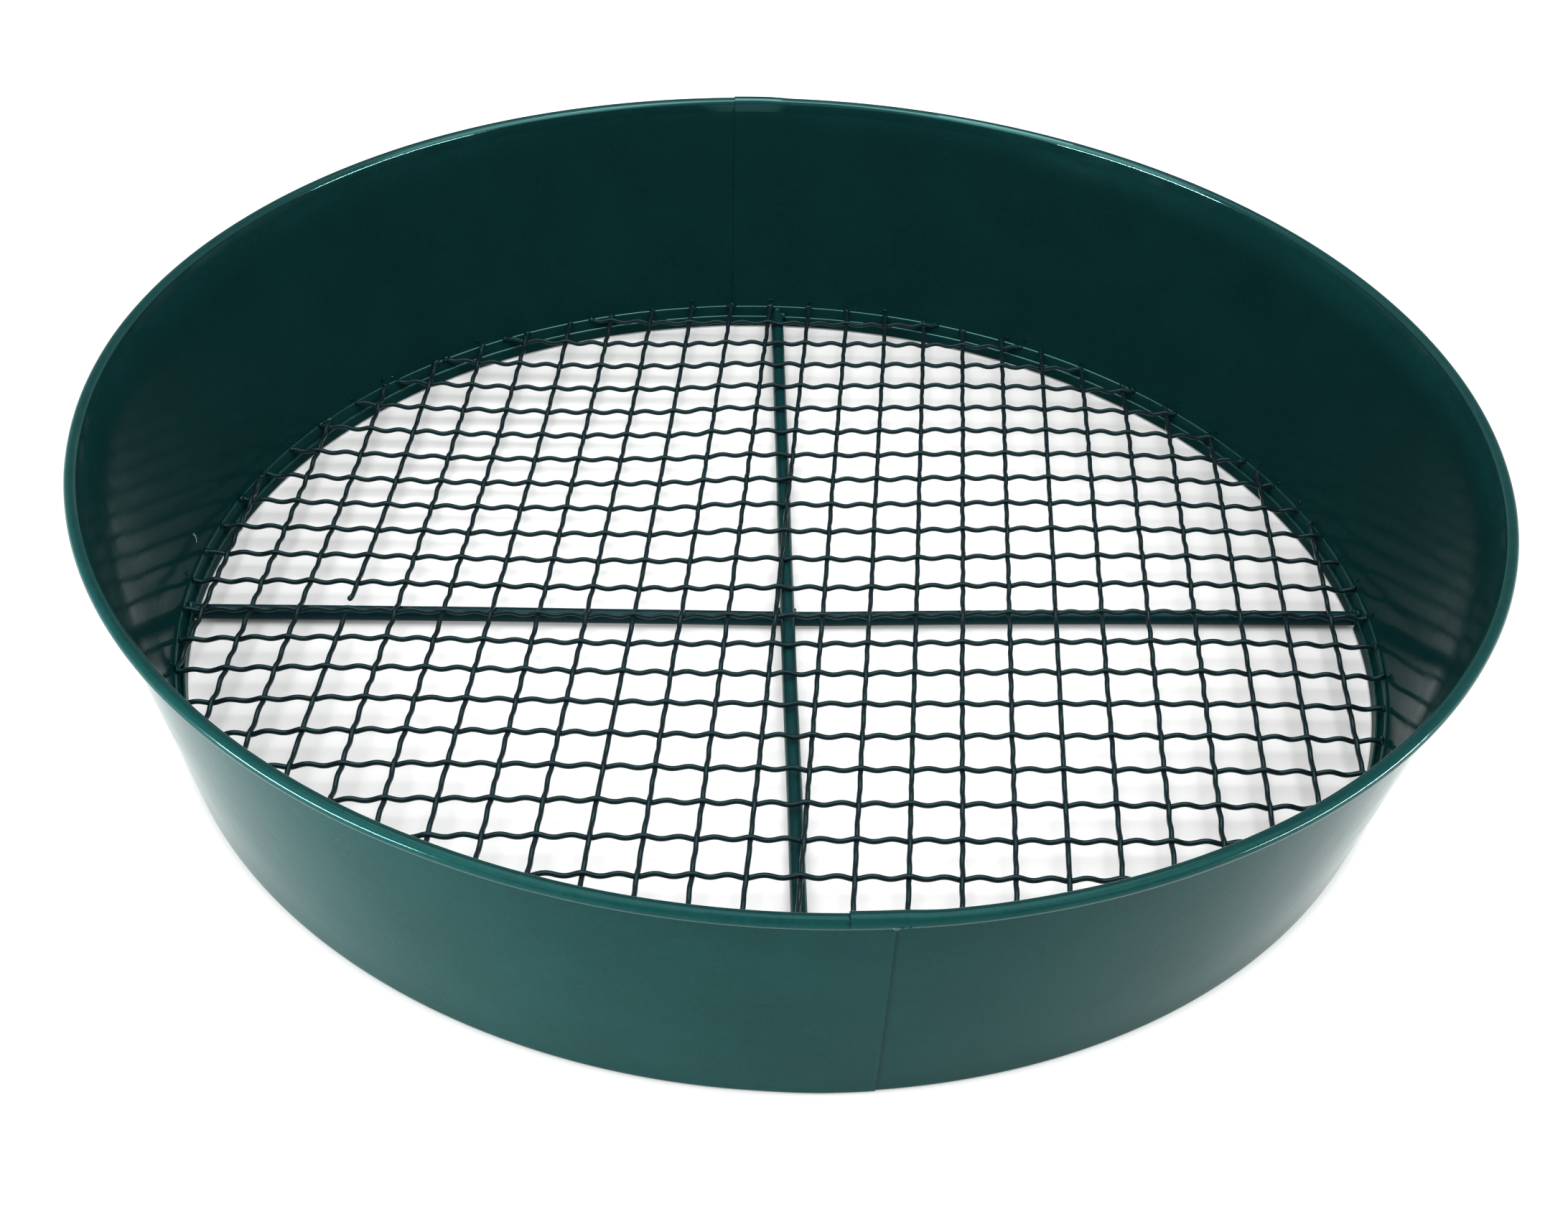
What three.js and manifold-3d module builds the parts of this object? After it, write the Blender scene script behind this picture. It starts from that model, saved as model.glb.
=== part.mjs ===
// Round garden sieve: conical sheet-steel side band made of two lapped halves,
// a woven crimped wire mesh and two crossed support rods under it.
// Millimetres, +Z up, origin at the centre of the ring it stands on.
import * as THREE from 'three';
import Module from 'manifold-3d';
import * as BufferGeometryUtils from 'three/addons/utils/BufferGeometryUtils.js';

// ---- side band -------------------------------------------------------------
const FOOT_R = 166.40;          // outer face at the floor
const WALL_SLOPE = 0.2243;      // radial growth per mm of height
const SHEET = 0.8;              // sheet thickness
const BEAD_R = 1.7;             // outside radius of the rolled rim
const BEAD_CR = 183.30;         // centre radius of the rolled rim
const BEAD_Z = 72.70;           // centre height of the rolled rim
const HEM_IN_FOOT = 163.72;     // inner face of the innermost fold at the floor
const HEM_IN_TOP = 164.12;      // inner face of the innermost fold at its lip
const HEM_H = 3.6;              // height of the innermost fold
const FOLD_Z = 2.6;             // height where the two folds part
const FOLD_T = 0.82;            // thickness of the outer fold against the wall
const FOLD_H = 6.3;             // height of the outer fold
const BAND_STEP = 4.9;          // sweep step, degrees
// ---- laps between the halves (degrees, counter-clockwise from +X) -----------
const RIGHT_START = -89.65;
const RIGHT_END = 93.45;
const LAP_GAP = 0.1;
const FRONT_LAP_END = -86.5;
const BACK_LAP_END = 90.3;
const WEB = 1.0;                // length of the joggle step
const JOGGLE = 1.12;            // outward offset of the outer layer
const LAP_Z0 = 0.6;
const LAP_Z1 = 70.05;
// ---- mesh --------------------------------------------------------------------
const WIRES = 25;               // each way
const PITCH_A = [13.1832, -0.0209];   // step from one front-back wire to the next
const PITCH_B = [1.4612, 13.1252];    // step from one left-right wire to the next
const CROSS_0 = [11.8173, 11.2436];   // crossing of front-back wire 14 and left-right wire 12
const WIRE_HALF = 0.62;         // half side of the wire section
const CRIMP = 0.78;             // rise of each crimp
const MESH_Z = 6.05;
const RADIUS_N = 165;
const WARP = [0.026, 2.823, -2.613, 12.061, 4.936, 3.457, -7.478, 0.292, -2.114, -1.776];
const MESH_OVER_FB = 3.72;      // mesh height above the centre line of the front-back rod
const MESH_OVER_LR = 5.85;
const MESH_MIN = 5.15;
const WIRE_END_GAP = 0.12;
// ---- rods --------------------------------------------------------------------
const ROD_R = 2.05;
const FB_Z = 3.05;              // centre height at the ends
const FB_RISE = 2.25, FB_RISE_Y = 0.1, FB_RISE_L = 42;   // hump over the other rod
const LR_Z = 2.1;
const ROD_END_R = 164.35;
const FB_X0 = 0.87, FB_SLOPE = 0.0256;
const LR_Y = 2.8, LR_BOW = 2.75, LR_BOW_X = 5, LR_BOW_LEFT = 90, LR_BOW_RIGHT = 55;   // bowed forward at the crossing
const SADDLE_GAP = 0.25;        // clearance of the saddle where one rod crosses the other
const NOTCH_HALF = 2.45, NOTCH_Z = -0.5, NOTCH_R = 164.40;
const ROD_SIDES = 12;

const rad = (d) => (d * Math.PI) / 180;
const wallOut = (z) => FOOT_R + WALL_SLOPE * z;
const SHEET_H = SHEET * Math.sqrt(1 + WALL_SLOPE * WALL_SLOPE);
const wallIn = (z) => wallOut(z) - SHEET_H;

const wasm = await Module();
wasm.setup();

function toManifold(geometry) {
  const g = geometry.clone();
  g.deleteAttribute('normal');
  g.deleteAttribute('uv');
  const m = BufferGeometryUtils.mergeVertices(g, 1e-4);
  const mesh = new wasm.Mesh({
    numProp: 3,
    vertProperties: new Float32Array(m.attributes.position.array),
    triVerts: new Uint32Array(m.index.array),
  });
  mesh.merge();
  return new wasm.Manifold(mesh);
}

function toGeometry(manifold) {
  const mesh = manifold.getMesh();
  const n = mesh.vertProperties.length / mesh.numProp;
  const pos = new Float32Array(n * 3);
  for (let i = 0; i < n; i++) {
    for (let k = 0; k < 3; k++) pos[i * 3 + k] = mesh.vertProperties[i * mesh.numProp + k];
  }
  const g = new THREE.BufferGeometry();
  g.setAttribute('position', new THREE.BufferAttribute(pos, 3));
  g.setIndex(new THREE.BufferAttribute(new Uint32Array(mesh.triVerts), 1));
  g.computeVertexNormals();
  return g;
}

// Level path with upright sections: the section x axis is across the path, y is up.
class LevelPath extends THREE.Curve {
  constructor(point, heading) {
    super();
    this.point = point;
    this.heading = heading;
  }
  getPoint(t, target = new THREE.Vector3()) {
    return target.copy(this.point(t));
  }
  getUtoTmapping(u) {
    return u;
  }
  getTangent(t, target = new THREE.Vector3()) {
    return target.copy(this.heading(t));
  }
  computeFrenetFrames(segments) {
    const tangents = [], normals = [], binormals = [];
    const up = new THREE.Vector3(0, 0, 1);
    for (let i = 0; i <= segments; i++) {
      const h = this.heading(i / segments);
      tangents.push(h.clone());
      normals.push(new THREE.Vector3().crossVectors(up, h).normalize());
      binormals.push(up.clone());
    }
    return { tangents, normals, binormals };
  }
}

// Sweep an (r, z) outline about +Z between two angles.
function sweep(outline, a0, a1, shift = 0) {
  const steps = Math.max(1, Math.round((a1 - a0) / BAND_STEP));
  const shape = new THREE.Shape(outline.map(([r, z]) => new THREE.Vector2(-(r + shift), z)));
  const ang = (t) => rad(a0 + (a1 - a0) * t);
  const path = new LevelPath(
    () => new THREE.Vector3(0, 0, 0),
    (t) => new THREE.Vector3(-Math.sin(ang(t)), Math.cos(ang(t)), 0),
  );
  return new THREE.ExtrudeGeometry(shape, { steps, bevelEnabled: false, extrudePath: path, curveSegments: 8 });
}

// ---- band outline ------------------------------------------------------------
function bandOutline() {
  const p = [];
  // foot: flat bottom, rounded outside corner
  p.push([HEM_IN_FOOT, 0.22], [HEM_IN_FOOT + 0.12, 0], [FOOT_R - 0.2, 0], [wallOut(0.3), 0.3]);
  // outer face up to the underside of the rolled rim
  const zr = BEAD_Z - 1.15;
  p.push([wallOut(zr), zr]);
  // inside of the curl, back to its lip
  const ri = BEAD_R - SHEET;
  for (const d of [165, 115, 65, 15, -35, -85, -118]) {
    p.push([BEAD_CR + ri * Math.cos(rad(d)), BEAD_Z + ri * Math.sin(rad(d))]);
  }
  // lip and outside of the curl, over the top to the inner face
  for (const d of [-118, -90, -60, -30, 0, 30, 60, 90, 120, 150, 172]) {
    p.push([BEAD_CR + BEAD_R * Math.cos(rad(d)), BEAD_Z + BEAD_R * Math.sin(rad(d))]);
  }
  // inner face down to the outer fold, then the upright lip of the inner fold
  p.push([wallIn(BEAD_Z - 2.4), BEAD_Z - 2.4], [wallIn(FOLD_H), FOLD_H]);
  p.push([wallIn(FOLD_H) - FOLD_T + 0.2, FOLD_H], [wallIn(FOLD_H - 0.25) - FOLD_T, FOLD_H - 0.25]);
  p.push([wallIn(FOLD_Z) - FOLD_T, FOLD_Z]);
  p.push([HEM_IN_TOP + SHEET, HEM_H - 0.2], [HEM_IN_TOP + SHEET * 0.7, HEM_H], [HEM_IN_TOP + 0.2, HEM_H], [HEM_IN_TOP, HEM_H - 0.25]);
  return p;
}
const BAND = bandOutline();
const LAP = [
  [wallIn(LAP_Z0) + JOGGLE, LAP_Z0], [wallOut(LAP_Z0) + JOGGLE, LAP_Z0],
  [wallOut(LAP_Z1) + JOGGLE, LAP_Z1], [wallIn(LAP_Z1) + JOGGLE, LAP_Z1],
];
const STEP = [
  [wallOut(LAP_Z0) - 0.4, LAP_Z0], [wallOut(LAP_Z0) + JOGGLE, LAP_Z0],
  [wallOut(LAP_Z1) + JOGGLE, LAP_Z1], [wallOut(LAP_Z1) - 0.4, LAP_Z1],
];

// ---- rod centre lines -----------------------------------------------------------
function fbRod(y) {
  const w = Math.exp(-Math.pow(Math.abs(y - FB_RISE_Y) / FB_RISE_L, 1.6));
  return new THREE.Vector3(FB_X0 + FB_SLOPE * y, y, FB_Z + FB_RISE * w);
}
function lrRod(x) {
  const d = x - LR_BOW_X;
  const w = Math.exp(-Math.pow(Math.abs(d) / (d < 0 ? LR_BOW_LEFT : LR_BOW_RIGHT), 1.3));
  return new THREE.Vector3(x, LR_Y - LR_BOW * w, LR_Z);
}
const fbEnd = (s) => {
  const y = s * Math.sqrt(ROD_END_R * ROD_END_R - ROD_R * ROD_R - 20);
  const k = Math.sqrt(ROD_END_R * ROD_END_R - Math.pow(Math.abs(FB_X0 + FB_SLOPE * y) + ROD_R, 2));
  return s * k;
};
const lrEnd = (s) => s * Math.sqrt(ROD_END_R * ROD_END_R - Math.pow(LR_Y + ROD_R, 2));

function rodGeometry(point, a, b, heading, steps, radius = ROD_R) {
  const shape = new THREE.Shape();
  for (let i = 0; i < ROD_SIDES; i++) {
    const t = rad((360 * (i + 0.5)) / ROD_SIDES);
    const v = [radius * Math.cos(t), radius * Math.sin(t)];
    if (i) shape.lineTo(v[0], v[1]);
    else shape.moveTo(v[0], v[1]);
  }
  shape.closePath();
  const path = new LevelPath((t) => point(a + (b - a) * t), () => heading);
  return new THREE.ExtrudeGeometry(shape, { steps, bevelEnabled: false, extrudePath: path });
}

// ---- band halves -----------------------------------------------------------------
function notch(cx, cy, alongX) {
  const depth = 6;
  const size = alongX ? [depth, 2 * NOTCH_HALF, 6] : [2 * NOTCH_HALF, depth, 6];
  const g = new THREE.BoxGeometry(size[0], size[1], size[2]);
  const s = Math.sign(alongX ? cx : cy);
  g.translate(alongX ? s * (NOTCH_R - depth / 2) : cx, alongX ? cy : s * (NOTCH_R - depth / 2), NOTCH_Z + 3);
  return toManifold(g);
}

let right = toManifold(sweep(BAND, RIGHT_START, RIGHT_END));
let left = toManifold(sweep(BAND, RIGHT_END + LAP_GAP, 360 + RIGHT_START - LAP_GAP));
const frontIn = 360 + RIGHT_START - LAP_GAP;
const backIn = RIGHT_END + LAP_GAP;
left = left
  .add(toManifold(sweep(STEP, frontIn - WEB, frontIn)))
  .add(toManifold(sweep(LAP, frontIn - WEB, 360 + FRONT_LAP_END)))
  .add(toManifold(sweep(STEP, backIn, backIn + WEB)))
  .add(toManifold(sweep(LAP, BACK_LAP_END, backIn + WEB)));
right = right.subtract(notch(ROD_END_R, lrRod(ROD_END_R).y, true)).subtract(notch(fbRod(164).x, ROD_END_R, false));
left = left.subtract(notch(-ROD_END_R, lrRod(-ROD_END_R).y, true)).subtract(notch(fbRod(-164).x, -ROD_END_R, false));

// ---- mesh wires --------------------------------------------------------------------
function meshZ(x, y) {
  const u = x / RADIUS_N, v = y / RADIUS_N;
  const f = 1 - u * u - v * v;
  const b = [1, u, v, u * v, u * u, v * v, u * u * v, u * v * v, u * u * u, v * v * v];
  let z = MESH_Z;
  if (f > 0) z += f * b.reduce((s, k, i) => s + k * WARP[i], 0);
  const near = (d) => Math.exp(-Math.pow(d / 26, 4));
  return Math.max(
    z,
    z + near(x - fbRod(y).x) * (fbRod(y).z + MESH_OVER_FB - z),
    z + near(y - lrRod(x).y) * (MESH_OVER_LR - z),
    MESH_MIN,
  );
}

// Crossing of front-back wire i and left-right wire j (both 0..WIRES-1).
function crossing(i, j) {
  const a = i - 13, b = 11 - j;
  return [CROSS_0[0] + a * PITCH_A[0] + b * PITCH_B[0], CROSS_0[1] + a * PITCH_A[1] + b * PITCH_B[1]];
}

function wireGeometry(line, index) {
  const alongLR = line === 'lr';
  const d = alongLR ? PITCH_A : PITCH_B;
  const len = Math.hypot(d[0], d[1]);
  const h = new THREE.Vector3(d[0] / len, d[1] / len, 0);
  const o = alongLR ? crossing(13, index) : crossing(index, 11);
  const side = Math.abs(o[0] * h.y - o[1] * h.x);
  const zEnd = MESH_Z - CRIMP - WIRE_HALF;
  const reach = Math.sqrt(Math.pow(wallIn(zEnd) - FOLD_T - WIRE_END_GAP, 2) - Math.pow(side + WIRE_HALF, 2));
  const mid = -(o[0] * h.x + o[1] * h.y);
  const s0 = mid - reach, s1 = mid + reach;
  // one bend per crossing
  const bends = [];
  for (let k = Math.ceil((s0 + 1) / len); k <= Math.floor((s1 - 1) / len); k++) bends.push(k);
  const pts = [];
  const at = (s, off) => {
    const x = o[0] + h.x * s, y = o[1] + h.y * s;
    return new THREE.Vector3(x, y, meshZ(x, y) + off);
  };
  const sign = (k) => {
    const i = alongLR ? 13 + k : index;
    const j = alongLR ? index : 11 - k;
    const odd = (((i + j) % 2) + 2) % 2;
    return (alongLR ? 1 : -1) * (odd ? 1 : -1);
  };
  const first = bends[0], last = bends[bends.length - 1];
  const ease = (s, k) => sign(k) * CRIMP * Math.max(-1, 1 - (2 * Math.abs(s - k * len)) / len);
  pts.push(at(s0, ease(s0, first)));
  for (const k of bends) pts.push(at(k * len, sign(k) * CRIMP));
  pts.push(at(s1, ease(s1, last)));
  const n = pts.length - 1;
  const path = new LevelPath((t) => pts[Math.round(t * n)], () => h);
  const w = WIRE_HALF;
  const shape = new THREE.Shape([
    new THREE.Vector2(-w, -w), new THREE.Vector2(w, -w), new THREE.Vector2(w, w), new THREE.Vector2(-w, w),
  ]);
  return new THREE.ExtrudeGeometry(shape, { steps: n, bevelEnabled: false, extrudePath: path });
}

// ---- assembly ------------------------------------------------------------------------
const group = new THREE.Group();
group.name = 'soil_sieve';

function paint(color, roughness) {
  return new THREE.MeshStandardMaterial({ color, roughness, metalness: 0.0 });
}
function add(name, geometry, material) {
  const mesh = new THREE.Mesh(geometry, material);
  mesh.name = name;
  group.add(mesh);
}

add('side_band_left', toGeometry(left), paint(0x0f4a49, 0.28));
add('side_band_right', toGeometry(right), paint(0x0f4a49, 0.28));

const rodLR = rodGeometry(lrRod, lrEnd(-1), lrEnd(1), new THREE.Vector3(1, 0, 0), 24);
const fbHeading = new THREE.Vector3(FB_SLOPE, 1, 0).normalize();
const rodFB = rodGeometry(fbRod, fbEnd(-1), fbEnd(1), fbHeading, 32);
const saddle = rodGeometry(fbRod, -12, 12, fbHeading, 8, ROD_R + SADDLE_GAP);
add('cross_rod_left_right', toGeometry(toManifold(rodLR).subtract(toManifold(saddle))), paint(0x0b3b3c, 0.32));
add('cross_rod_front_back', rodFB, paint(0x0b3b3c, 0.32));

const two = (n) => String(n).padStart(2, '0');
for (let n = 0; n < WIRES; n++) add(`mesh_wire_lr_${two(n + 1)}`, wireGeometry('lr', n), paint(0x0a2f31, 0.35));
for (let n = 0; n < WIRES; n++) add(`mesh_wire_fb_${two(n + 1)}`, wireGeometry('fb', n), paint(0x0a2f31, 0.35));

export default group;
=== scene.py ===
import bpy, bmesh, math, random
from mathutils import Vector, Matrix, noise


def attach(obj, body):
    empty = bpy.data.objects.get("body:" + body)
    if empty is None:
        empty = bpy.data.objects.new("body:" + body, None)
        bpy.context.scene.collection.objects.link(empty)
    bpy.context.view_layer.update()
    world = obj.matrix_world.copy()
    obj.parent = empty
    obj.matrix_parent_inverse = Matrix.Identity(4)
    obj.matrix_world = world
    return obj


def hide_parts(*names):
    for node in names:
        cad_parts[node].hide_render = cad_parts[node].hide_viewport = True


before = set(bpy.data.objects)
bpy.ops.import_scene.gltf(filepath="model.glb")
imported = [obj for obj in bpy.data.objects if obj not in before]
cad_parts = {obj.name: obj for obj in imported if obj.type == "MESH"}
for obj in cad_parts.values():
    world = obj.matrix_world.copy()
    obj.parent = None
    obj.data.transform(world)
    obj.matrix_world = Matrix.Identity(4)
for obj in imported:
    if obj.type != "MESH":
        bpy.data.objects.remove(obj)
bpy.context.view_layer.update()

MM = 0.001
rad = math.radians
scene = bpy.context.scene

# ------------------------------------------------------------------ sizes, mm
FOOT_R, SLOPE, SHEET = 166.40, 0.2243, 0.8
SHEET_H = SHEET * math.sqrt(1 + SLOPE * SLOPE)
BEAD_R, BEAD_CR, BEAD_Z = 1.7, 183.30, 72.70
HEM_FOOT, HEM_TOP, HEM_H = 163.72, 164.12, 3.6        # inner fold
FOLD_T, FOLD_H = 0.85, 6.3                            # outer fold, against the wall
R_START, R_END = -89.65, 93.45
L_FRONT, L_BACK = -86.65, 90.3
A = (13.1832, -0.0209)
B = (1.4612, 13.1252)
O = (11.8173, 11.2436)
WARP = [0.026, 2.823, -2.613, 12.061, 4.936, 3.457, -7.478, 0.292, -2.114, -1.776]
WIRE_R = 0.69
CRIMP = 0.43
ROD_R = 2.05
N = 25


def wall_out(z):
    return FOOT_R + SLOPE * z


def wall_in(z):
    return wall_out(z) - SHEET_H


def smooth(a, b, x):
    t = max(0.0, min(1.0, (x - a) / (b - a)))
    return t * t * (3 - 2 * t)


# ------------------------------------------------------------------ mesh helpers
def add_object(name, verts, faces, mats, angle=35, attrs=None, recalc=True):
    me = bpy.data.meshes.new(name)
    me.from_pydata([(v[0] * MM, v[1] * MM, v[2] * MM) for v in verts], [], faces)
    if attrs:
        for key, vals in attrs.items():
            at = me.attributes.new(key, "FLOAT", "POINT")
            at.data.foreach_set("value", vals)
    if recalc:
        bm = bmesh.new()
        bm.from_mesh(me)
        bmesh.ops.recalc_face_normals(bm, faces=bm.faces)
        bm.to_mesh(me)
        bm.free()
    me.polygons.foreach_set("use_smooth", [True] * len(me.polygons))
    me.set_sharp_from_angle(angle=rad(angle))
    ob = bpy.data.objects.new(name, me)
    scene.collection.objects.link(ob)
    for m in mats:
        me.materials.append(m)
    return ob


class Soup:
    """Collects several closed bodies in one mesh."""

    def __init__(self):
        self.v, self.f, self.w = [], [], []

    def grid(self, rings, wear_and_sheen, closed_ends=True):
        base = len(self.v)
        n = len(rings[0])
        for ring, ws in zip(rings, wear_and_sheen):
            self.v.extend(ring)
            self.w.extend(ws)
        m = len(rings)
        for i in range(m - 1):
            for j in range(n):
                a, b = base + i * n + j, base + i * n + (j + 1) % n
                c, d = b + n, a + n
                self.f.append((a, b, c, d))
        if closed_ends:
            self.f.append(tuple(base + j for j in reversed(range(n))))
            self.f.append(tuple(base + (m - 1) * n + j for j in range(n)))

    def tube(self, pts, radii, sides=12, up=(0, 0, 1), wear_and_sheen=None, squash=None):
        """Round bar along pts, with rounded or cut ends from its radii."""
        rings, ws = [], []
        upv = Vector(up)
        m = len(pts)
        for i, p in enumerate(pts):
            t = (pts[min(i + 1, m - 1)] - pts[max(i - 1, 0)]).normalized()
            s = upv.cross(t)
            s = s.normalized() if s.length > 1e-6 else Vector((1, 0, 0))
            u = t.cross(s).normalized()
            ring = []
            for k in range(sides):
                a = 2 * math.pi * (k + 0.5) / sides
                r = radii[i]
                ku = squash[i] if squash else 1.0
                q = p + s * (r * math.cos(a)) + u * (r * ku * math.sin(a))
                ring.append((q.x, q.y, q.z))
            rings.append(ring)
            ws.append([wear_and_sheen[i] if wear_and_sheen else 0.0] * sides)
        self.grid(rings, ws)

    def blob(self, c, rx, ry, rz, axis=0.0, seed=0, lump=0.18, rings=7, sides=10, tilt=0.0, wear_and_sheen=0.0):
        """Lumpy ellipsoid: a spot of weld or a bead of paint."""
        ca, sa = math.cos(axis), math.sin(axis)
        ct, st = math.cos(tilt), math.sin(tilt)
        out, ws = [], []
        for i in range(rings + 1):
            th = math.pi * (i + 0.35) / (rings + 0.7)
            ring = []
            for k in range(sides):
                ph = 2 * math.pi * k / sides
                d = Vector((math.sin(th) * math.cos(ph), math.sin(th) * math.sin(ph), math.cos(th)))
                g = 1 + lump * noise.noise(d * 1.7 + Vector((seed * 3.1, seed * 1.7, seed * 0.9)))
                x, y, z = d.x * rx * g, d.y * ry * g, d.z * rz * g
                x, z = x * ct + z * st, -x * st + z * ct
                ring.append((c[0] + x * ca - y * sa, c[1] + x * sa + y * ca, c[2] + z))
            out.append(ring)
            ws.append([wear_and_sheen] * sides)
        self.grid(out, ws)

    def make(self, name, mats, angle=35):
        return add_object(name, self.v, self.f, mats, angle, {"wear_and_sheen": self.w})


# ------------------------------------------------------------------ materials
def paint(name, base, rough, peel=1.0, peel_scale=520.0, peel_depth=0.00003, wear_and_sheen_col=(0.05, 0.12, 0.115), specks=1.0, seed=0.0, spec=0.40):
    m = bpy.data.materials.new(name)
    m.use_nodes = True
    nt = m.node_tree
    nd, ln = nt.nodes, nt.links
    nd.clear()

    def new(t, **kw):
        n = nd.new(t)
        for k, v in kw.items():
            setattr(n, k, v)
        return n

    out = new("ShaderNodeOutputMaterial")
    bs = new("ShaderNodeBsdfPrincipled")
    ln.new(bs.outputs["BSDF"], out.inputs["Surface"])
    tc = new("ShaderNodeTexCoord")
    mp = new("ShaderNodeMapping")
    mp.inputs["Location"].default_value = (seed, seed * 0.7, seed * 0.3)
    ln.new(tc.outputs["Object"], mp.inputs["Vector"])
    P = mp.outputs["Vector"]

    def noise_tex(scale, detail=2.0, rough_=0.5):
        n = new("ShaderNodeTexNoise")
        n.inputs["Scale"].default_value = scale
        n.inputs["Detail"].default_value = detail
        n.inputs["Roughness"].default_value = rough_
        ln.new(P, n.inputs["Vector"])
        return n.outputs["Fac"]

    def ramp(fac, lo, hi, a=0.0, b=1.0):
        r = new("ShaderNodeMapRange")
        r.interpolation_type = "SMOOTHSTEP"
        r.inputs["From Min"].default_value = lo
        r.inputs["From Max"].default_value = hi
        r.inputs["To Min"].default_value = a
        r.inputs["To Max"].default_value = b
        ln.new(fac, r.inputs["Value"])
        return r.outputs["Result"]

    def mix(fac, a, b):
        x = new("ShaderNodeMix", data_type="RGBA")
        if isinstance(fac, float):
            x.inputs["Factor"].default_value = fac
        else:
            ln.new(fac, x.inputs["Factor"])
        for sock, v in (("A", a), ("B", b)):
            idx = 6 if sock == "A" else 7
            if isinstance(v, tuple):
                x.inputs[idx].default_value = (*v, 1.0)
            else:
                ln.new(v, x.inputs[idx])
        return x.outputs[2]

    def math_(op, a, b=None):
        x = new("ShaderNodeMath", operation=op)
        for i, v in enumerate((a, b)):
            if v is None:
                continue
            if isinstance(v, (int, float)):
                x.inputs[i].default_value = v
            else:
                ln.new(v, x.inputs[i])
        return x.outputs[0]

    dark = tuple(c * 0.93 for c in base)
    lite = tuple(c * 1.07 for c in base)
    col = mix(ramp(noise_tex(34.0, 4.0, 0.6), 0.35, 0.68), dark, lite)
    # fine mottling of the powder
    col = mix(ramp(noise_tex(900.0, 2.0, 0.6), 0.35, 0.7, 0.0, 0.30), col, tuple(c * 1.40 for c in base))
    # dust specks and tiny pinholes
    sp = new("ShaderNodeTexVoronoi")
    sp.inputs["Scale"].default_value = 260.0
    sp.inputs["Randomness"].default_value = 1.0
    ln.new(P, sp.inputs["Vector"])
    spot = ramp(sp.outputs["Distance"], 0.055, 0.02)
    gate = ramp(noise_tex(61.0, 2.0, 0.5), 0.56, 0.66)
    spk = math_("MULTIPLY", math_("MULTIPLY", spot, gate), 0.22 * specks)
    col = mix(spk, col, (0.16, 0.22, 0.21))
    # wear along edges, partly painted light: the lighter wear colour also paints highlights on the up-facing tops of
    # rolled edges and a glint on the seam weld
    at = new("ShaderNodeAttribute", attribute_name="wear_and_sheen")
    wn = ramp(noise_tex(210.0, 5.0, 0.65), 0.42, 0.62)
    wear_and_sheen = math_("MULTIPLY", at.outputs["Fac"], wn)
    col = mix(wear_and_sheen, col, wear_and_sheen_col)
    ln.new(col, bs.inputs["Base Color"])
    rg = ramp(noise_tex(75.0, 4.0, 0.6), 0.3, 0.75, rough * 0.8, rough * 1.3)
    rg = math_("ADD", rg, math_("MULTIPLY", wear_and_sheen, 0.16))
    rg = math_("ADD", rg, math_("MULTIPLY", spk, 0.4))
    ln.new(rg, bs.inputs["Roughness"])
    bs.inputs["Metallic"].default_value = 0.0
    bs.inputs["IOR"].default_value = 1.5
    bs.inputs["Specular IOR Level"].default_value = spec
    bs.inputs["Specular Tint"].default_value = (0.46, 1.0, 0.98, 1)
    bmp = new("ShaderNodeBump")
    bmp.inputs["Strength"].default_value = peel
    bmp.inputs["Distance"].default_value = peel_depth
    h = noise_tex(peel_scale, 1.5, 0.45)
    h = math_("ADD", h, math_("MULTIPLY", noise_tex(peel_scale * 0.23, 2.0, 0.5), 1.6))
    ln.new(h, bmp.inputs["Height"])
    ln.new(bmp.outputs["Normal"], bs.inputs["Normal"])
    return m


M_BAND = paint("powder_coat_band", (0.0035, 0.030, 0.029), 0.115, peel=0.6, wear_and_sheen_col=(0.006, 0.048, 0.046), spec=0.05)
# darker, duller copy of the band paint for the inside and the hem flats: painted shade
M_INNER_SHADED = paint("powder_coat_inner", (0.0040, 0.028, 0.028), 0.13, peel=0.6, wear_and_sheen_col=(0.006, 0.048, 0.046), spec=0.02)
# lighter copy of the band paint for the rim bead's top and outside: painted light
M_EDGE_LIT = paint("powder_coat_edge", (0.0045, 0.034, 0.033), 0.14, peel=0.8, wear_and_sheen_col=(0.009, 0.048, 0.046), spec=0.16)
# darker, glossier copy of the band paint for the rolled hem tops and the bead's inner side: painted shade
M_FOLD_SHADED = paint("powder_coat_fold", (0.0030, 0.024, 0.024), 0.10, peel=0.05, wear_and_sheen_col=(0.008, 0.045, 0.043), spec=0.95, seed=0.17)
M_ROD = paint("powder_coat_rod", (0.0035, 0.027, 0.029), 0.30, seed=0.31, wear_and_sheen_col=(0.005, 0.042, 0.043), spec=0.24)
# darker copy of the rod paint for the lower, left-right rod: painted shade
M_ROD_LR_SHADED = paint("powder_coat_rod_lower", (0.0025, 0.0190, 0.0240), 0.30, seed=0.41, wear_and_sheen_col=(0.0035, 0.027, 0.031), spec=0.18)
M_WIRE = paint("powder_coat_wire", (0.0078, 0.0142, 0.0180), 0.24, seed=0.57, specks=0.4, wear_and_sheen_col=(0.005, 0.026, 0.028), spec=0.24)
M_WELD = paint("powder_coat_weld", (0.0025, 0.017, 0.018), 0.24, seed=0.83, peel_depth=0.00008, peel_scale=420.0, spec=0.35)
M_CHIP = paint("paint_chip", (0.42, 0.45, 0.43), 0.5, seed=0.9, specks=0.0, wear_and_sheen_col=(0.5, 0.5, 0.48), spec=0.2)


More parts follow.
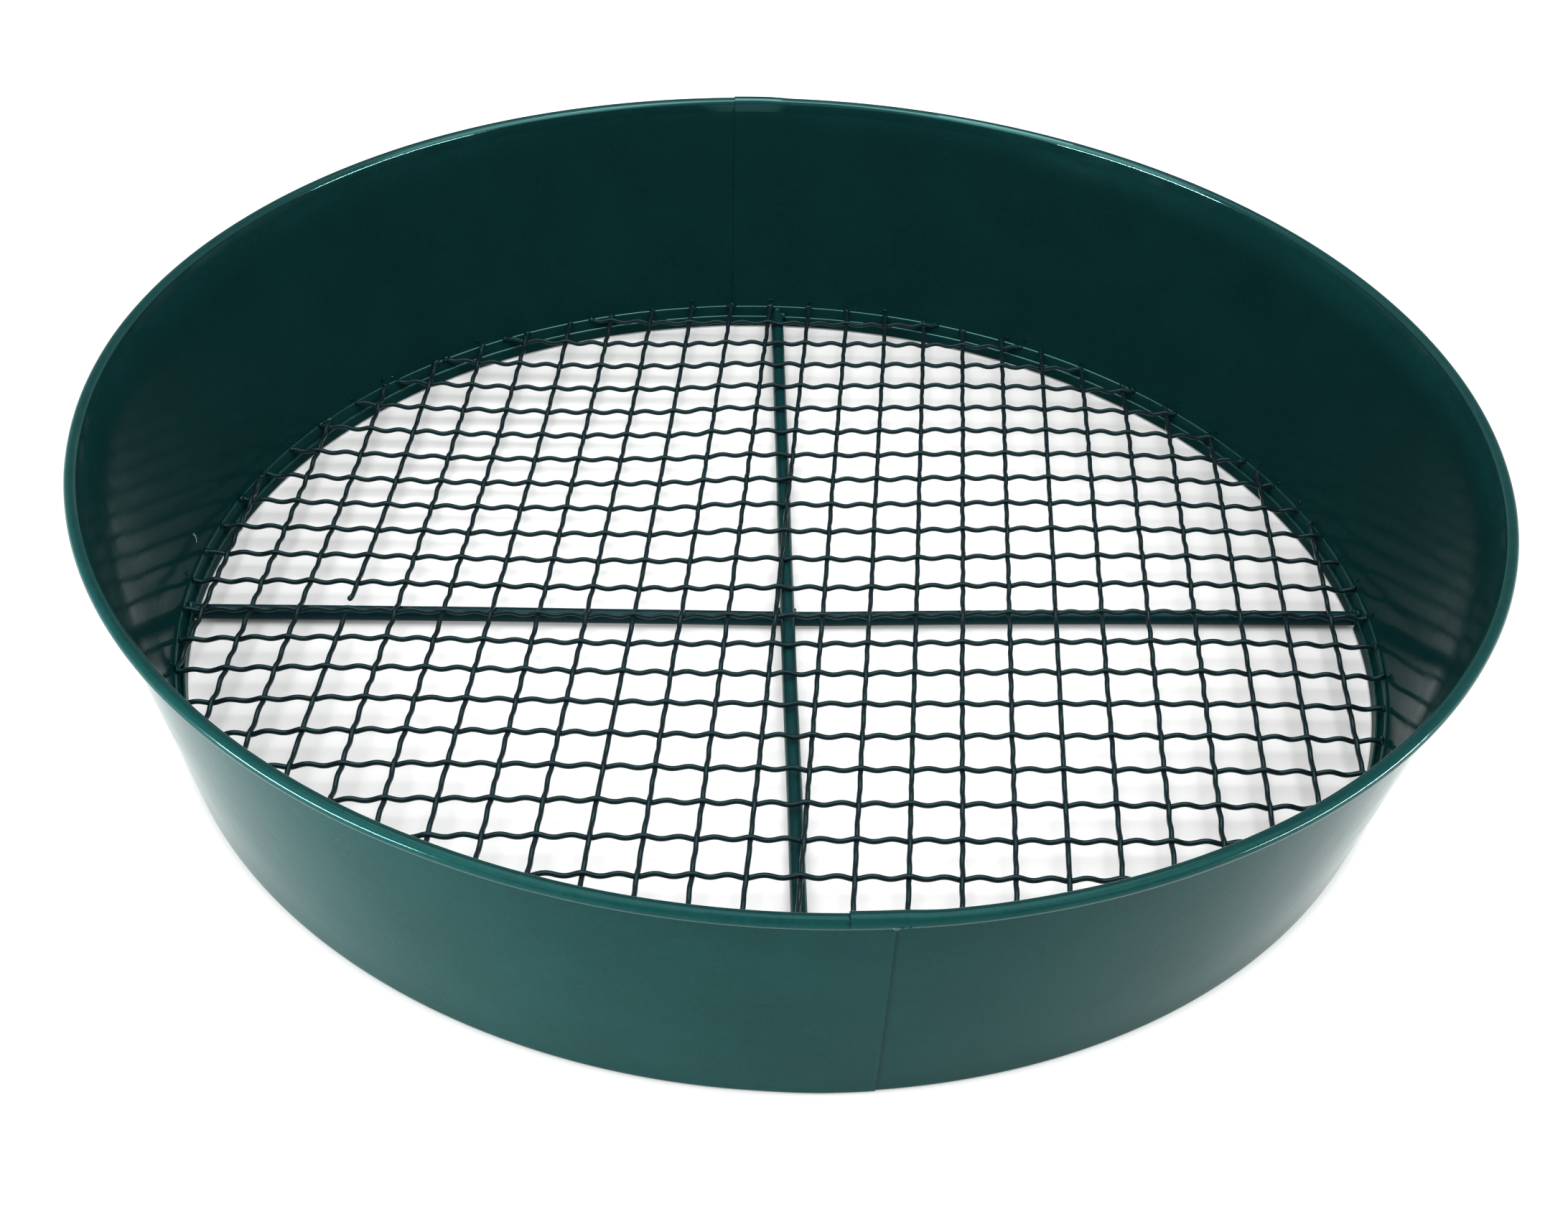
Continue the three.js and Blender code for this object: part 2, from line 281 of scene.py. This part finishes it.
# ------------------------------------------------------------------ rods
def rise(y):
    return 2.25 * math.exp(-(abs(y - 0.1) / 42.0) ** 1.6)


def fb_rod(y):
    """Front-back rod: passes over the other rod at the middle."""
    h = rise(y)
    return Vector((0.87 + 0.0256 * y + 0.35 * (min(0.0, y) / 150.0) ** 2 - 0.107 * h, y, 3.05 + h))


def lr_rod(x):
    """Left-right rod, bowed a little towards the front where the other rod crosses it."""
    d = x - 5.0
    w = math.exp(-(math.sqrt(d * d + 9.0) / (90.0 if d < 0 else 55.0)) ** 1.3)
    return Vector((x, 2.8 - 1.95 * w, 2.12))


# ------------------------------------------------------------------ band halves
def section(bead_r, bead_cr, bead_z, shift, hem, out_fold, hem_top, top_cut=0.0):
    """Closed (r, z, wear and sheen) outline: the third value is rubbed paint at the foot and cut edges and painted
    highlight on the up-facing tops of the rolled edges. shift moves the wall outwards, hem and out_fold 0..1 fade the
    two folds.
    """
    p = []
    rw = lambda r: r + shift
    # underside of the fold, outside to inside
    p.append((rw(wall_out(1.0)), 1.0, 0.2))
    p.append((rw(wall_out(0.42)) - 0.02, 0.42, 0.5))
    p.append((rw(FOOT_R - 0.16), 0.1, 0.7))
    p.append((rw(FOOT_R - 0.5), 0.0, 0.8))
    inner = lambda r, z: rw(wall_in(z) + (r - wall_in(z)) * hem)
    p.append((inner(HEM_FOOT + 0.55, 0.0), 0.0, 0.8))
    p.append((inner(HEM_FOOT + 0.18, 0.1), 0.1, 0.6))
    p.append((inner(HEM_FOOT + 0.02, 0.5), 0.5, 0.4))
    p.append((inner(HEM_FOOT + 0.04, 1.1), 1.1, 0.2))
    # upright lip of the hem, with a rolled top edge
    for k in (0.35, 0.65):
        z = 1.1 + (hem_top - 0.45 - 1.1) * k
        p.append((inner(HEM_FOOT + (HEM_TOP - HEM_FOOT) * z / HEM_H, z), z, 0.05))
    cx, cz, rr = HEM_TOP + 0.4, hem_top - 0.42, 0.42
    # the up-facing top of the hem's roll takes 0.5: rubbed paint and painted highlight
    for d in (180, 150, 120, 90, 60, 30, 0):
        z = cz + rr * math.sin(rad(d))
        p.append((inner(cx + rr * math.cos(rad(d)), z), z, 0.5 if 60 <= d <= 150 else 0.1))
    f2 = lambda z: rw(wall_in(z) - FOLD_T * out_fold)
    zf = hem_top - 1.1
    p.append((max(inner(cx + rr, zf), f2(zf) - 0.25), zf, 0.0))
    p.append((f2(zf + 0.25), zf + 0.3, 0.0))
    p.append((f2(4.6), max(4.6, zf + 0.4), 0.0))
    # rolled top of the outer fold, where the wires are welded on
    rr = 0.40
    cx, cz = wall_in(FOLD_H) - FOLD_T + rr, FOLD_H - rr
    # the up-facing top of this roll takes 0.5 too: rubbed paint and painted highlight
    for d in (180, 150, 120, 90, 60, 30):
        z = cz + rr * math.sin(rad(d))
        r = cx + rr * math.cos(rad(d))
        p.append((rw(wall_in(z) + (r - wall_in(z)) * out_fold), z, 0.5 if 60 <= d <= 150 else 0.1))
    p.append((rw(wall_in(FOLD_H - 0.3) - 0.02), FOLD_H - 0.12, 0.0))
    p.append((rw(wall_in(FOLD_H + 0.3)), FOLD_H + 0.3, 0.0))
    for z in (7.6, 9.5):
        p.append((rw(wall_in(z)), z, 0.0))
    for z in (15, 23, 32, 41, 50, 58, 64.5, 68.5):
        p.append((rw(wall_in(z)), z, 0.0))
    ro, ri = bead_r, max(bead_r - SHEET, 0.12)
    p.append((rw(wall_in(bead_z - 2.4 - top_cut)), bead_z - 2.4 - top_cut, 0.0))
    d = 172
    # bead top 0.22 and inner side 0.15: rubbed paint and painted highlight
    while d >= -118:
        w = 0.22 if 45 <= d <= 135 else (0.15 if 0 <= d < 45 else 0.05)
        p.append((bead_cr + ro * math.cos(rad(d)), bead_z + ro * math.sin(rad(d)), w))
        d -= 4.0 if d > 130 else 11.6
    d = -118
    while d <= 160:
        p.append((bead_cr + ri * math.cos(rad(d)), bead_z + ri * math.sin(rad(d)), 0.0))
        d += 25
    p.append((rw(wall_out(bead_z - 1.35)) + 0.01, bead_z - 1.35, 0.0))
    for z in (68.6, 64, 57, 49, 41, 33, 25, 17, 10, 5):
        p.append((rw(wall_out(z)), z, 0.0))
    return p


def ripple(theta, z):
    """Small hand-rolled unevenness of the sheet, mm."""
    a = rad(theta)
    v = Vector((math.cos(a) * 2.6, math.sin(a) * 2.6, z * 0.014))
    w = Vector((math.cos(a) * 9.0, math.sin(a) * 9.0, z * 0.05))
    return 0.16 * noise.noise(v) + 0.035 * noise.noise(w)


def lr_y(x):
    return lr_rod(x).y


NOTCHES = [math.degrees(math.atan2(lr_y(164.0), 164.0)), 180 - math.degrees(math.atan2(lr_y(-164.0), 164.0)),
           math.degrees(math.atan2(164, fb_rod(164).x)), 360 + math.degrees(math.atan2(-164, fb_rod(-164).x))]


def hem_top_at(theta):
    return HEM_H + 0.12 * noise.noise(Vector((theta * 0.11, 3.0, 1.0)))


def lip_at(theta):
    """1 where the inner fold stands clear, near 0 where a rod end is let into it."""
    k = 1.0
    for nc in NOTCHES:
        d = abs((theta - nc + 180) % 360 - 180)
        k = min(k, 0.28 + 0.72 * smooth(0.8, 0.98, d))
    return k


def build_band(name, a0, a1, left):
    step = 0.6
    n = max(2, int(round((a1 - a0) / step)))
    angs = [a0 + (a1 - a0) * i / n for i in range(n + 1)]
    extra = []
    for nc in NOTCHES:
        for k in (-1.05, -0.98, -0.91, -0.85, -0.79, 0.79, 0.85, 0.91, 0.98, 1.05):
            t = nc + k
            for q in (t, t - 360):
                if a0 < q < a1:
                    extra.append(q)
    if left:
        for t in (R_END - 0.10, R_END - 0.05, R_END + 0.01, 360 + R_START - 0.01, 360 + R_START + 0.05, 360 + R_START + 0.10):
            extra.append(t)
    angs = sorted(set(round(t, 4) for t in angs + extra))
    soup = Soup()
    rings, wear_and_sheen = [], []
    for t in angs:
        shift, hem, br, bcr, bz, lapped = 0.0, 1.0, BEAD_R, BEAD_CR, BEAD_Z, 0.0
        if left:
            f = smooth(360 + R_START - 6.0, 360 + R_START + 0.6, t)
            b = 1 - smooth(R_END - 0.6, R_END + 6.0, t)
            lapped = max(f, b)
            nest = max(smooth(360 + R_START - 0.01, 360 + R_START + 0.10, t), 1 - smooth(R_END - 0.10, R_END + 0.01, t))
            shift = 0.30 * lapped
            hem = 1 - nest
            br = BEAD_R - 0.86 * nest
            bcr = BEAD_CR + 0.12 * nest
            bz = BEAD_Z - 0.12 * nest
        else:
            f = 1 - smooth(L_FRONT - 0.2, L_FRONT + 3.2, t)
            b = smooth(L_BACK - 3.2, L_BACK + 0.2, t)
            g = max(f, b)
            br = BEAD_R + 0.20 * g
            bcr = BEAD_CR - 0.10 * g
            bz = BEAD_Z + 0.22 * g
        sec = section(br, bcr, bz, shift, hem * lip_at(t), hem, hem_top_at(t))
        ring, ws = [], []
        for (r, z, w) in sec:
            tt = t
            if left:
                k = smooth(360 + R_START + 0.3, 360 + L_FRONT, t)
                tt = t + k * 1.1 * (1 - z / 73.0) * 0.9
            k2 = smooth(0.0, 12.0, z)
            rr = r + ripple(tt, z) * k2
            zz = z + 0.10 * noise.noise(Vector((math.cos(rad(tt)) * 1.3, math.sin(rad(tt)) * 1.3, 5.0))) * (z / 73.0)
            ring.append((rr * math.cos(rad(tt)), rr * math.sin(rad(tt)), max(zz, 0.0)))
            ws.append(w)
        rings.append(ring)
        wear_and_sheen.append(ws)
    soup.grid(rings, wear_and_sheen)
    # raw cut edge of the sheet wears first
    m = len(rings[0])
    for i in list(range(m)) + list(range(len(soup.w) - m, len(soup.w))):
        soup.w[i] = max(soup.w[i], 0.12)
    ob = soup.make(name, [M_BAND, M_EDGE_LIT, M_FOLD_SHADED, M_INNER_SHADED], 42)
    me = ob.data
    wear_sheen_vals = [0.0] * len(me.vertices)
    me.attributes["wear_and_sheen"].data.foreach_get("value", wear_sheen_vals)
    for p in me.polygons:
        z = p.center.z / MM
        r = math.hypot(p.center.x, p.center.y) / MM
        # rim bead: lighter edge copy on top and outside (painted light), darker fold copy on the inner side (painted
        # shade)
        if z > BEAD_Z - BEAD_R - 0.05:
            p.material_index = 2 if r < BEAD_CR - 0.95 else 1
        # hem: darker fold copy on the rolled tops, darker inside copy on the flats: painted shade
        elif z < FOLD_H + 0.15 and r < wall_in(z) + 0.2:
            p.material_index = 2 if max(wear_sheen_vals[i] for i in p.vertices) > 0.3 and z > 2.0 else 3
        # faces turned inwards get the darker inside copy: painted shade
        elif p.normal.x * p.center.x + p.normal.y * p.center.y < 0:
            p.material_index = 3
    return ob


band_right = build_band("band_half_right", R_START, R_END, False)
band_left = build_band("band_half_left", L_BACK, 360 + L_FRONT, True)
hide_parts("side_band_right")
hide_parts("side_band_left")
for ob in (band_right, band_left):
    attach(ob, "root")


# ------------------------------------------------------------------ mesh wires
def mesh_z(x, y):
    u, v = x / 165.0, y / 165.0
    f = 1 - u * u - v * v
    z = 5.85
    if f > 0:
        b = [1, u, v, u * v, u * u, v * v, u * u * v, u * v * v, u ** 3, v ** 3]
        z += f * sum(k * w for k, w in zip(b, WARP))
    w = math.exp(-(((x - fb_rod(y).x) / 24.0) ** 4))
    return z + w * max(0.0, 6.17 - z)


def bulge(x, y):
    """Extra rise of the mesh over the hump of the front-back rod."""
    return math.exp(-(((x - fb_rod(y).x) / 30.0) ** 4)) * rise(y)


def crossing(i, j):
    a, b = i - 13, 11 - j
    return (O[0] + a * A[0] + b * B[0], O[1] + a * A[1] + b * B[1])


welds = Soup()
wire_objs = []


def build_wire(kind, index):
    rng = random.Random(1000 * (kind == "fb") + index * 7 + 3)
    lr = kind == "lr"
    d = A if lr else B
    L = math.hypot(*d)
    h = Vector((d[0] / L, d[1] / L, 0))
    side = Vector((-h.y, h.x, 0))
    o = Vector((*(crossing(13, index) if lr else crossing(index, 11)), 0))
    off = abs(o.x * h.y - o.y * h.x)
    mid = -(o.x * h.x + o.y * h.y)
    reach = math.sqrt((wall_in(6.0) - FOLD_T) ** 2 - off ** 2)
    ends = [mid - reach - 0.05, mid + reach + 0.05]
    amp = CRIMP * (1.0 if lr else 0.88) * (1 + rng.uniform(-0.06, 0.06))
    ph = rng.uniform(0, 10)

    def parity(k):
        i = 13 + k if lr else index
        j = index if lr else 11 - k
        return (1 if lr else -1) * (1 if (i + j) % 2 else -1)

    def point(s):
        k = round(s / L)
        q = s / L - k
        wave = parity(k) * math.cos(3 * math.pi * q)
        wave = wave * (1 + 0.28 * math.exp(-((q * L / 2.0) ** 2)))
        c = o + h * s
        lat = 0.14 * noise.noise(Vector((s * 0.05 + ph, ph, 0.3))) + 0.05 * noise.noise(Vector((s * 0.35, ph * 2, 1.3)))
        if lr:
            lat += 0.03 * math.sin(3 * math.pi * s / L + ph)
        else:
            lat += 0.07 * math.sin(3 * math.pi * s / L + ph)
        fade = min(1.0, (ends[1] - s) / 3.0, (s - ends[0]) / 3.0)
        fade = max(0.0, fade)
        zz = mesh_z(c.x, c.y) + amp * wave * (0.35 + 0.65 * fade)
        # the tip turns up a little where it is welded to the wall
        zz += (1 - fade) * (0.1 + 0.35 * tips[0 if s < mid else 1])
        zz += 0.06 * noise.noise(Vector((s * 0.08, ph, 4.0)))
        p = c + side * lat
        p.z = max(zz, 1.2)
        p += Vector((-0.107, -1.255, 1.0)) * bulge(c.x, c.y)
        p.y -= 1.25 * math.exp(-((c.x - 5) / 80) ** 2 - ((c.y - 9) / 24) ** 2) - 0.05 * math.exp(-((c.x - 5) / 90) ** 2 - (c.y / 60) ** 2)
        return p

    tips = [rng.uniform(0, 1), rng.uniform(0, 1)]
    stepL = L / 15.0
    spans = [(ends[0], ends[1])]
    if not lr and index == 3:
        spans = [(ends[0], S_BROKEN[0]), (S_BROKEN[1], ends[1])]
    soup = Soup()
    for si, (s0, s1) in enumerate(spans):
        n = max(3, int((s1 - s0) / stepL))
        pts, radii, wr = [], [], []
        for i in range(n + 1):
            s = s0 + (s1 - s0) * i / n
            p = point(s)
            k = s / L
            q = abs(k - round(k))
            thick = 0.035 * math.exp(-((q * L) / 1.1) ** 2)  # paint gathers at crossings
            pts.append(p)
            radii.append(WIRE_R + thick + 0.015 * noise.noise(Vector((s * 0.4, ph, 9.0))))
            crest = parity(round(k)) * math.cos(3 * math.pi * (k - round(k)))
            wr.append(max(0.25 * smooth(0.5, 1.0, crest), 0.9 * (1 - smooth(2.0, 7.0, min(ends[1] - s, s - ends[0])))))
        if not lr and index == 3:
            # broken ends: a nub hanging by the rod and a bent stub on the other side
            if si == 0:
                e = pts[-1]
                pts += [e + h * 0.7 + Vector((0.12, 0, -0.12)), e + h * 1.15 + Vector((0.25, 0, -0.3))]
                radii += [WIRE_R * 0.9, WIRE_R * 0.3]
                wr += [0.9, 1.0]
            else:
                e = pts[0]
                pts = [e - h * 1.7 + Vector((-0.75, 0, -0.2)), e - h * 1.25 + Vector((-0.45, 0, -0.05)), e - h * 0.6 + Vector((-0.12, 0, 0))] + pts
                radii = [WIRE_R * 0.75, WIRE_R * 1.2, WIRE_R * 1.05] + radii
                wr = [1.0, 0.9, 0.5] + wr
        soup.tube(pts, radii, 10, wear_and_sheen=wr)
    ob = soup.make(f"wire_{kind}_{index + 1:02d}", [M_WIRE], 50)
    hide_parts(f"mesh_wire_{kind}_{index + 1:02d}")
    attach(ob, "root")
    wire_objs.append(ob)
    # weld spots where the ends meet the wall
    for e, s in enumerate(ends):
        c = o + h * s
        z = mesh_z(c.x, c.y) + 0.35 * tips[e]
        a = math.atan2(c.y, c.x)
        r = wall_in(z) - FOLD_T - 0.15
        big = rng.uniform(0.6, 1.05)
        welds.blob((r * math.cos(a), r * math.sin(a), z + 0.3 * big), 0.75 * big, 1.35 * big * rng.uniform(0.7, 1.3), 1.0 * big,
                   axis=a, seed=index * 2 + e + (60 if lr else 0), lump=0.5, tilt=-0.24)
        if rng.random() < 0.45:
            a2 = a + rng.uniform(-1, 1) * 0.012
            z2 = z + rng.uniform(1.2, 2.6)
            r2 = wall_in(z2) - 0.12
            welds.blob((r2 * math.cos(a2), r2 * math.sin(a2), z2), 0.3, rng.uniform(0.35, 0.8), rng.uniform(0.3, 0.7),
                       axis=a2, seed=index + 17 * e, lump=0.5, tilt=-0.24)


# the broken front-back wire: where its two ends are, along its own line
_o = Vector((*crossing(3, 11), 0))
_L = math.hypot(*B)
_h = Vector((B[0] / _L, B[1] / _L, 0))
S_BROKEN = [(Vector((-122.1, -5.0, 0)) - _o).dot(_h), (Vector((-121.0, 3.3, 0)) - _o).dot(_h) + 1.7]

for idx in range(N):
    build_wire("lr", idx)
for idx in range(N):
    build_wire("fb", idx)


# ------------------------------------------------------------------ rods
def build_rod(kind):
    pts, radii, wr = [], [], []
    n = 120
    end = 164.5
    for i in range(n + 1):
        t = -end + 2 * end * i / n
        p = lr_rod(t) if kind == "lr" else fb_rod(t)
        if kind == "lr":
            p = p + Vector((0, 0.10 * noise.noise(Vector((t * 0.02, 1, 2))), 0.05 * noise.noise(Vector((t * 0.03, 5, 2)))))
        else:
            p = p + Vector((0.12 * noise.noise(Vector((t * 0.02, 8, 2))), 0, 0))
        pts.append(p)
        radii.append(ROD_R + 0.03 * noise.noise(Vector((t * 0.15, 3, 2 if kind == "lr" else 7))))
        wr.append(0.15)
    soup = Soup()
    soup.tube(pts, radii, 28, wear_and_sheen=wr)
    ob = soup.make("rod_left_right" if kind == "lr" else "rod_front_back", [M_ROD_LR_SHADED if kind == "lr" else M_ROD], 50)
    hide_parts("cross_rod_left_right" if kind == "lr" else "cross_rod_front_back")
    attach(ob, "root")
    for s, t in ((0, -end), (1, end)):
        p = lr_rod(t) if kind == "lr" else fb_rod(t)
        a = math.atan2(p.y, p.x)
        for k, (da, dz) in enumerate(((0.011, 0.7), (-0.011, 0.5), (0.0, 1.7))):
            r = wall_in(p.z + dz) - FOLD_T - 0.4
            welds.blob((r * math.cos(a + da), r * math.sin(a + da), p.z + dz), 1.2, 1.5, 1.3, axis=a, seed=200 + 7 * s + k + (30 if kind == "lr" else 0), lump=0.4, tilt=-0.24)


build_rod("lr")
build_rod("fb")
# tack where the two rods cross
c = fb_rod(0.0)
for k, (dx, dy) in enumerate(((1.5, 1.5), (-1.5, 1.4), (1.4, -1.6), (-1.5, -1.5))):
    welds.blob((c.x + dx * 1.25, lr_rod(c.x).y + dy * 1.25, 3.7), 0.9, 0.9, 0.7, seed=300 + k, lump=0.5)
CHIP_A, CHIP_Z = 171.73, 11.77
# small run of weld at the top of the front seam; its blobs take the full light wear colour, a painted glint on the weld
for k, (da, dz, sx) in enumerate(((-0.15, 0.0, 1.0), (0.28, 0.1, 0.8), (0.7, -0.05, 0.55))):
    a = rad(L_FRONT + da)
    welds.blob((184.93 * math.cos(a), 184.93 * math.sin(a), 72.3 + dz), 0.5 * sx, 0.85 * sx, 0.45 * sx, axis=a, seed=400 + k, lump=0.5, wear_and_sheen=1.0)
weld_ob = welds.make("weld_spots", [M_WELD], 60)
chip = Soup()
ca = rad(CHIP_A)
for k in range(5):
    zk = CHIP_Z + (k - 2) * 0.62
    ak = ca + 0.0008 * (k - 2) ** 2
    rk = wall_in(zk) - 0.02
    chip.blob((rk * math.cos(ak), rk * math.sin(ak), zk), 0.12, 0.32 - 0.05 * abs(k - 2), 0.5, axis=ak, seed=500 + k, lump=0.3, tilt=-0.22)
chip_ob = chip.make("paint_chip_spot", [M_CHIP], 60)
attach(chip_ob, "root")
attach(weld_ob, "root")


# ------------------------------------------------------------------ floor
def floor_material():
    m = bpy.data.materials.new("pale_floor_painted_glow")
    m.use_nodes = True
    nt = m.node_tree
    bs = nt.nodes["Principled BSDF"]
    tc = nt.nodes.new("ShaderNodeTexCoord")
    ns = nt.nodes.new("ShaderNodeTexNoise")
    ns.inputs["Scale"].default_value = 22.0
    ns.inputs["Detail"].default_value = 3.0
    nt.links.new(tc.outputs["Object"], ns.inputs["Vector"])
    mr = nt.nodes.new("ShaderNodeMix")
    mr.data_type = "RGBA"
    mr.inputs[6].default_value = (0.555, 0.56, 0.556, 1)
    mr.inputs[7].default_value = (0.585, 0.583, 0.58, 1)
    nt.links.new(ns.outputs["Fac"], mr.inputs["Factor"])
    nt.links.new(mr.outputs[2], bs.inputs["Base Color"])
    bs.inputs["Roughness"].default_value = 0.75
    bs.inputs["Specular IOR Level"].default_value = 0.2
    # painted light: the floor glows, most in a ring just outside the foot where it fills the contact shadow and lights
    # the lower wall, less inside the sieve and least near the inner wall, a painted shade there
    ln = nt.nodes.new("ShaderNodeVectorMath")
    ln.operation = "LENGTH"
    nt.links.new(tc.outputs["Object"], ln.inputs[0])
    def ring(lo, hi, v0, v1):
        rm = nt.nodes.new("ShaderNodeMapRange")
        rm.interpolation_type = "SMOOTHSTEP"
        rm.inputs["From Min"].default_value = lo
        rm.inputs["From Max"].default_value = hi
        rm.inputs["To Min"].default_value = v0
        rm.inputs["To Max"].default_value = v1
        nt.links.new(ln.outputs["Value"], rm.inputs["Value"])
        return rm.outputs["Result"]

    add = nt.nodes.new("ShaderNodeMath")
    add.operation = "ADD"
    nt.links.new(ring(0.085, 0.152, 0.26, 0.05), add.inputs[0])
    add2 = nt.nodes.new("ShaderNodeMath")
    add2.operation = "ADD"
    nt.links.new(ring(0.162, 0.171, 0.0, 0.67), add2.inputs[0])
    nt.links.new(ring(0.184, 0.225, 0.0, -0.40), add2.inputs[1])
    nt.links.new(add2.outputs[0], add.inputs[1])
    bs.inputs["Emission Color"].default_value = (1, 1, 1, 1)
    nt.links.new(add.outputs[0], bs.inputs["Emission Strength"])
    return m


me = bpy.data.meshes.new("floor")
S = 14.0
me.from_pydata([(S * math.cos(rad(k * 5)), S * math.sin(rad(k * 5)), -0.0004) for k in range(72)], [], [tuple(range(72))])
floor = bpy.data.objects.new("floor", me)
scene.collection.objects.link(floor)
me.materials.append(floor_material())


# ------------------------------------------------------------------ light
def area(name, loc, target, size, power, col=(1, 1, 1), size_y=None):
    li = bpy.data.lights.new(name, "AREA")
    li.energy = power
    li.color = col
    li.size = size
    if size_y:
        li.shape = "RECTANGLE"
        li.size_y = size_y
    ob = bpy.data.objects.new(name, li)
    ob.location = loc
    ob.rotation_euler = (Vector(target) - Vector(loc)).to_track_quat("-Z", "Y").to_euler()
    scene.collection.objects.link(ob)
    return ob


world = scene.world or bpy.data.worlds.new("World")
scene.world = world
world.use_nodes = True
bg = world.node_tree.nodes.get("Background")
bg.inputs["Color"].default_value = (1.0, 1.0, 1.0, 1)
bg.inputs["Strength"].default_value = 0.5
area("overhead", (0.0, 0.10, 1.6), (0, 0, 0), 1.5, 32)
area("front_left", (-0.92, -0.63, 1.15), (0, 0, 0.0), 1.3, 12.0, (1.0, 0.985, 0.97))
area("front_right", (0.92, -0.63, 1.15), (0, 0, 0.0), 1.3, 12.0, (0.97, 1.0, 0.985))
for nm, az, w, z, h in (("low_left", 205.0, 65.0, 0.075, 0.11), ("low_right", 343.0, 34.0, 0.075, 0.11)):
    lo = area(nm, (1.6 * math.cos(rad(az)), 1.6 * math.sin(rad(az)), z), (0, 0, 0.03), 0.9, w, (1, 1, 1), h)
    lo.visible_camera = False

# ------------------------------------------------------------------ camera
cam_data = bpy.data.cameras.new("camera")
cam = bpy.data.objects.new("camera", cam_data)
scene.collection.objects.link(cam)
R = Vector((0.997894, -0.04651084, 0.04521403))
U = Vector((-0.00670041, 0.6194003, 0.78504673))
F = Vector((0.06451877, 0.78369637, -0.6177842))
m = Matrix(((R.x, U.x, -F.x, -0.04017), (R.y, U.y, -F.y, -0.48343), (R.z, U.z, -F.z, 0.38813), (0, 0, 0, 1)))
cam.matrix_world = m
cam_data.sensor_fit = "HORIZONTAL"
cam_data.sensor_width = 36.0
cam_data.lens = 50.444
cam_data.clip_start = 0.01
scene.camera = cam
scene.view_settings.view_transform = "Standard"
scene.view_settings.look = "None"
scene.view_settings.gamma = 0.88
